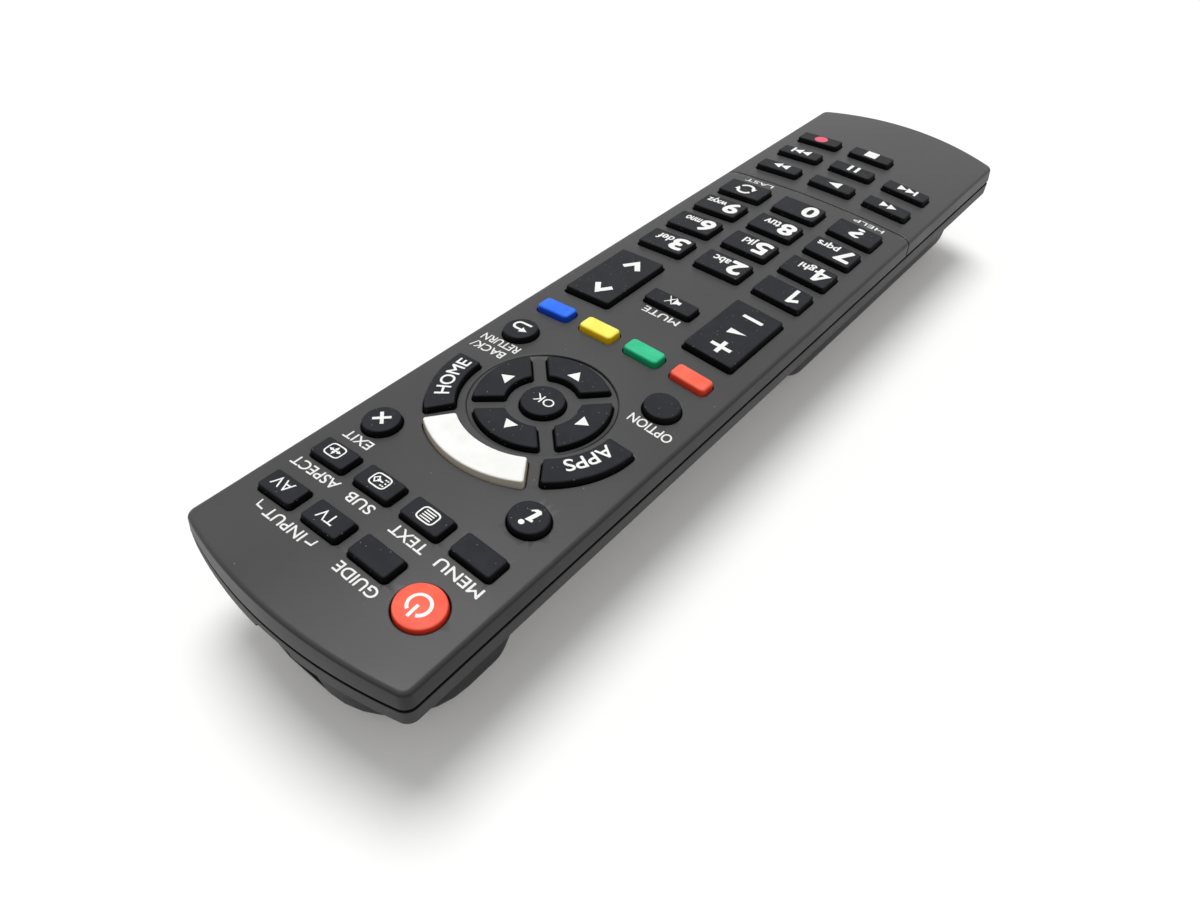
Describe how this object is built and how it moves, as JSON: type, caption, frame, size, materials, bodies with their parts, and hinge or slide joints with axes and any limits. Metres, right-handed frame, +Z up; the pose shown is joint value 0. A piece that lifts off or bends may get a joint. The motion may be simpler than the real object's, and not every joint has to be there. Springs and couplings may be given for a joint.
{
  "type": "tv remote control",
  "caption": "Long flat hand-held television remote control with a crowned key face, a ring of arrow keys, rocker keys, and a battery belly with a hinged door.",
  "frame": {"origin": "centre of the underside: middle of the length and width, on the plane that the belly and the foot rest on", "axes": "+X right as it is held with the keys facing the user, +Y towards the infrared end, +Z up out of the key face"},
  "size_m": [0.0474, 0.2, 0.0257],
  "materials": {
    "case_plastic": "fine matte texture",
    "key_black": "matte silicone",
    "key_white": "matte silicone",
    "power_red": "satin silicone",
    "colour_red": "satin silicone",
    "colour_green": "satin silicone",
    "colour_yellow": "satin silicone",
    "colour_blue": "satin silicone",
    "mat_rubber": "matte silicone",
    "board": "solder mask",
    "component": "moulded epoxy",
    "lamp_resin": "smoked clear resin",
    "cell_sleeve": "plain printed sleeve",
    "contact_steel": "nickel plated"
  },
  "bodies": {
    "case": {"top_case": "case_plastic", "bottom_case": "case_plastic", "key_mat": "mat_rubber", "circuit_board": "board", "controller_chip": "component", "resonator": "component", "capacitor": "component", "infrared_lamp": "lamp_resin", "aa_cells": "cell_sleeve", "front_contacts": "contact_steel", "link_contact": "contact_steel", "battery_springs": "contact_steel"},
    "door": {"battery_door": "case_plastic"},
    "volume_rocker": {"volume_rocker": "key_black"},
    "channel_rocker": {"channel_rocker": "key_black"},
    "guide_key": {"guide_key": "key_black"},
    "tv_key": {"tv_key": "key_black"},
    "av_key": {"av_key": "key_black"},
    "menu_key": {"menu_key": "key_black"},
    "text_key": {"text_key": "key_black"},
    "subtitle_key": {"subtitle_key": "key_black"},
    "aspect_key": {"aspect_key": "key_black"},
    "red_key": {"red_key": "colour_red"},
    "green_key": {"green_key": "colour_green"},
    "yellow_key": {"yellow_key": "colour_yellow"},
    "blue_key": {"blue_key": "colour_blue"},
    "mute_key": {"mute_key": "key_black"},
    "digit_1_key": {"digit_1_key": "key_black"},
    "digit_2_key": {"digit_2_key": "key_black"},
    "digit_3_key": {"digit_3_key": "key_black"},
    "digit_4_key": {"digit_4_key": "key_black"},
    "digit_5_key": {"digit_5_key": "key_black"},
    "digit_6_key": {"digit_6_key": "key_black"},
    "digit_7_key": {"digit_7_key": "key_black"},
    "digit_8_key": {"digit_8_key": "key_black"},
    "digit_9_key": {"digit_9_key": "key_black"},
    "help_key": {"help_key": "key_black"},
    "digit_0_key": {"digit_0_key": "key_black"},
    "last_view_key": {"last_view_key": "key_black"},
    "rewind_key": {"rewind_key": "key_black"},
    "play_key": {"play_key": "key_black"},
    "fast_forward_key": {"fast_forward_key": "key_black"},
    "previous_key": {"previous_key": "key_black"},
    "pause_key": {"pause_key": "key_black"},
    "next_key": {"next_key": "key_black"},
    "stop_key": {"stop_key": "key_black"},
    "record_key": {"record_key": "key_black"},
    "power_key": {"power_key": "power_red"},
    "info_key": {"info_key": "key_black"},
    "exit_key": {"exit_key": "key_black"},
    "option_key": {"option_key": "key_black"},
    "back_key": {"back_key": "key_black"},
    "ok_key": {"ok_key": "key_black"},
    "up_arrow_key": {"up_arrow_key": "key_black"},
    "left_arrow_key": {"left_arrow_key": "key_black"},
    "down_arrow_key": {"down_arrow_key": "key_black"},
    "right_arrow_key": {"right_arrow_key": "key_black"},
    "home_key": {"home_key": "key_black"},
    "shortcut_key": {"shortcut_key": "key_white"},
    "apps_key": {"apps_key": "key_black"}
  },
  "joints": [
    {"name": "battery_door_hinge", "type": "hinge", "parent": "case", "child": "door", "pos_m": [0, -0.0801, 0], "axis": [-1, 0, 0], "range_deg": [0, 55]},
    {"name": "volume_rocker_tilt", "type": "hinge", "parent": "case", "child": "volume_rocker", "pos_m": [-0.01385, 0.00745, 0.0213], "axis": [1, 0, 0], "range_deg": [-3, 3], "stiffness_Nm_per_rad": 0.23},
    {"name": "channel_rocker_tilt", "type": "hinge", "parent": "case", "child": "channel_rocker", "pos_m": [0.01385, 0.00745, 0.0213], "axis": [1, 0, 0], "range_deg": [-3, 3], "stiffness_Nm_per_rad": 0.23},
    {"name": "guide_key_press", "type": "slide", "parent": "case", "child": "guide_key", "axis": [0, 0, -1], "range_m": [0, 0.0008], "stiffness_N_per_m": 1500},
    {"name": "tv_key_press", "type": "slide", "parent": "case", "child": "tv_key", "axis": [0, 0, -1], "range_m": [0, 0.0008], "stiffness_N_per_m": 1500},
    {"name": "av_key_press", "type": "slide", "parent": "case", "child": "av_key", "axis": [0, 0, -1], "range_m": [0, 0.0008], "stiffness_N_per_m": 1500},
    {"name": "menu_key_press", "type": "slide", "parent": "case", "child": "menu_key", "axis": [0, 0, -1], "range_m": [0, 0.0008], "stiffness_N_per_m": 1500},
    {"name": "text_key_press", "type": "slide", "parent": "case", "child": "text_key", "axis": [0, 0, -1], "range_m": [0, 0.0008], "stiffness_N_per_m": 1500},
    {"name": "subtitle_key_press", "type": "slide", "parent": "case", "child": "subtitle_key", "axis": [0, 0, -1], "range_m": [0, 0.0008], "stiffness_N_per_m": 1500},
    {"name": "aspect_key_press", "type": "slide", "parent": "case", "child": "aspect_key", "axis": [0, 0, -1], "range_m": [0, 0.0008], "stiffness_N_per_m": 1500},
    {"name": "red_key_press", "type": "slide", "parent": "case", "child": "red_key", "axis": [0, 0, -1], "range_m": [0, 0.0008], "stiffness_N_per_m": 1500},
    {"name": "green_key_press", "type": "slide", "parent": "case", "child": "green_key", "axis": [0, 0, -1], "range_m": [0, 0.0008], "stiffness_N_per_m": 1500},
    {"name": "yellow_key_press", "type": "slide", "parent": "case", "child": "yellow_key", "axis": [0, 0, -1], "range_m": [0, 0.0008], "stiffness_N_per_m": 1500},
    {"name": "blue_key_press", "type": "slide", "parent": "case", "child": "blue_key", "axis": [0, 0, -1], "range_m": [0, 0.0008], "stiffness_N_per_m": 1500},
    {"name": "mute_key_press", "type": "slide", "parent": "case", "child": "mute_key", "axis": [0, 0, -1], "range_m": [0, 0.0008], "stiffness_N_per_m": 1500},
    {"name": "digit_1_key_press", "type": "slide", "parent": "case", "child": "digit_1_key", "axis": [0, 0, -1], "range_m": [0, 0.0008], "stiffness_N_per_m": 1500},
    {"name": "digit_2_key_press", "type": "slide", "parent": "case", "child": "digit_2_key", "axis": [0, 0, -1], "range_m": [0, 0.0008], "stiffness_N_per_m": 1500},
    {"name": "digit_3_key_press", "type": "slide", "parent": "case", "child": "digit_3_key", "axis": [0, 0, -1], "range_m": [0, 0.0008], "stiffness_N_per_m": 1500},
    {"name": "digit_4_key_press", "type": "slide", "parent": "case", "child": "digit_4_key", "axis": [0, 0, -1], "range_m": [0, 0.0008], "stiffness_N_per_m": 1500},
    {"name": "digit_5_key_press", "type": "slide", "parent": "case", "child": "digit_5_key", "axis": [0, 0, -1], "range_m": [0, 0.0008], "stiffness_N_per_m": 1500},
    {"name": "digit_6_key_press", "type": "slide", "parent": "case", "child": "digit_6_key", "axis": [0, 0, -1], "range_m": [0, 0.0008], "stiffness_N_per_m": 1500},
    {"name": "digit_7_key_press", "type": "slide", "parent": "case", "child": "digit_7_key", "axis": [0, 0, -1], "range_m": [0, 0.0008], "stiffness_N_per_m": 1500},
    {"name": "digit_8_key_press", "type": "slide", "parent": "case", "child": "digit_8_key", "axis": [0, 0, -1], "range_m": [0, 0.0008], "stiffness_N_per_m": 1500},
    {"name": "digit_9_key_press", "type": "slide", "parent": "case", "child": "digit_9_key", "axis": [0, 0, -1], "range_m": [0, 0.0008], "stiffness_N_per_m": 1500},
    {"name": "help_key_press", "type": "slide", "parent": "case", "child": "help_key", "axis": [0, 0, -1], "range_m": [0, 0.0008], "stiffness_N_per_m": 1500},
    {"name": "digit_0_key_press", "type": "slide", "parent": "case", "child": "digit_0_key", "axis": [0, 0, -1], "range_m": [0, 0.0008], "stiffness_N_per_m": 1500},
    {"name": "last_view_key_press", "type": "slide", "parent": "case", "child": "last_view_key", "axis": [0, 0, -1], "range_m": [0, 0.0008], "stiffness_N_per_m": 1500},
    {"name": "rewind_key_press", "type": "slide", "parent": "case", "child": "rewind_key", "axis": [0, 0, -1], "range_m": [0, 0.0008], "stiffness_N_per_m": 1500},
    {"name": "play_key_press", "type": "slide", "parent": "case", "child": "play_key", "axis": [0, 0, -1], "range_m": [0, 0.0008], "stiffness_N_per_m": 1500},
    {"name": "fast_forward_key_press", "type": "slide", "parent": "case", "child": "fast_forward_key", "axis": [0, 0, -1], "range_m": [0, 0.0008], "stiffness_N_per_m": 1500},
    {"name": "previous_key_press", "type": "slide", "parent": "case", "child": "previous_key", "axis": [0, 0, -1], "range_m": [0, 0.0008], "stiffness_N_per_m": 1500},
    {"name": "pause_key_press", "type": "slide", "parent": "case", "child": "pause_key", "axis": [0, 0, -1], "range_m": [0, 0.0008], "stiffness_N_per_m": 1500},
    {"name": "next_key_press", "type": "slide", "parent": "case", "child": "next_key", "axis": [0, 0, -1], "range_m": [0, 0.0008], "stiffness_N_per_m": 1500},
    {"name": "stop_key_press", "type": "slide", "parent": "case", "child": "stop_key", "axis": [0, 0, -1], "range_m": [0, 0.0008], "stiffness_N_per_m": 1500},
    {"name": "record_key_press", "type": "slide", "parent": "case", "child": "record_key", "axis": [0, 0, -1], "range_m": [0, 0.0008], "stiffness_N_per_m": 1500},
    {"name": "power_key_press", "type": "slide", "parent": "case", "child": "power_key", "axis": [0, 0, -1], "range_m": [0, 0.0008], "stiffness_N_per_m": 1500},
    {"name": "info_key_press", "type": "slide", "parent": "case", "child": "info_key", "axis": [0, 0, -1], "range_m": [0, 0.0008], "stiffness_N_per_m": 1500},
    {"name": "exit_key_press", "type": "slide", "parent": "case", "child": "exit_key", "axis": [0, 0, -1], "range_m": [0, 0.0008], "stiffness_N_per_m": 1500},
    {"name": "option_key_press", "type": "slide", "parent": "case", "child": "option_key", "axis": [0, 0, -1], "range_m": [0, 0.0008], "stiffness_N_per_m": 1500},
    {"name": "back_key_press", "type": "slide", "parent": "case", "child": "back_key", "axis": [0, 0, -1], "range_m": [0, 0.0008], "stiffness_N_per_m": 1500},
    {"name": "ok_key_press", "type": "slide", "parent": "case", "child": "ok_key", "axis": [0, 0, -1], "range_m": [0, 0.0008], "stiffness_N_per_m": 1500},
    {"name": "up_arrow_key_press", "type": "slide", "parent": "case", "child": "up_arrow_key", "axis": [0, 0, -1], "range_m": [0, 0.0008], "stiffness_N_per_m": 1500},
    {"name": "left_arrow_key_press", "type": "slide", "parent": "case", "child": "left_arrow_key", "axis": [0, 0, -1], "range_m": [0, 0.0008], "stiffness_N_per_m": 1500},
    {"name": "down_arrow_key_press", "type": "slide", "parent": "case", "child": "down_arrow_key", "axis": [0, 0, -1], "range_m": [0, 0.0008], "stiffness_N_per_m": 1500},
    {"name": "right_arrow_key_press", "type": "slide", "parent": "case", "child": "right_arrow_key", "axis": [0, 0, -1], "range_m": [0, 0.0008], "stiffness_N_per_m": 1500},
    {"name": "home_key_press", "type": "slide", "parent": "case", "child": "home_key", "axis": [0, 0, -1], "range_m": [0, 0.0008], "stiffness_N_per_m": 1500},
    {"name": "shortcut_key_press", "type": "slide", "parent": "case", "child": "shortcut_key", "axis": [0, 0, -1], "range_m": [0, 0.0008], "stiffness_N_per_m": 1500},
    {"name": "apps_key_press", "type": "slide", "parent": "case", "child": "apps_key", "axis": [0, 0, -1], "range_m": [0, 0.0008], "stiffness_N_per_m": 1500}
  ]
}
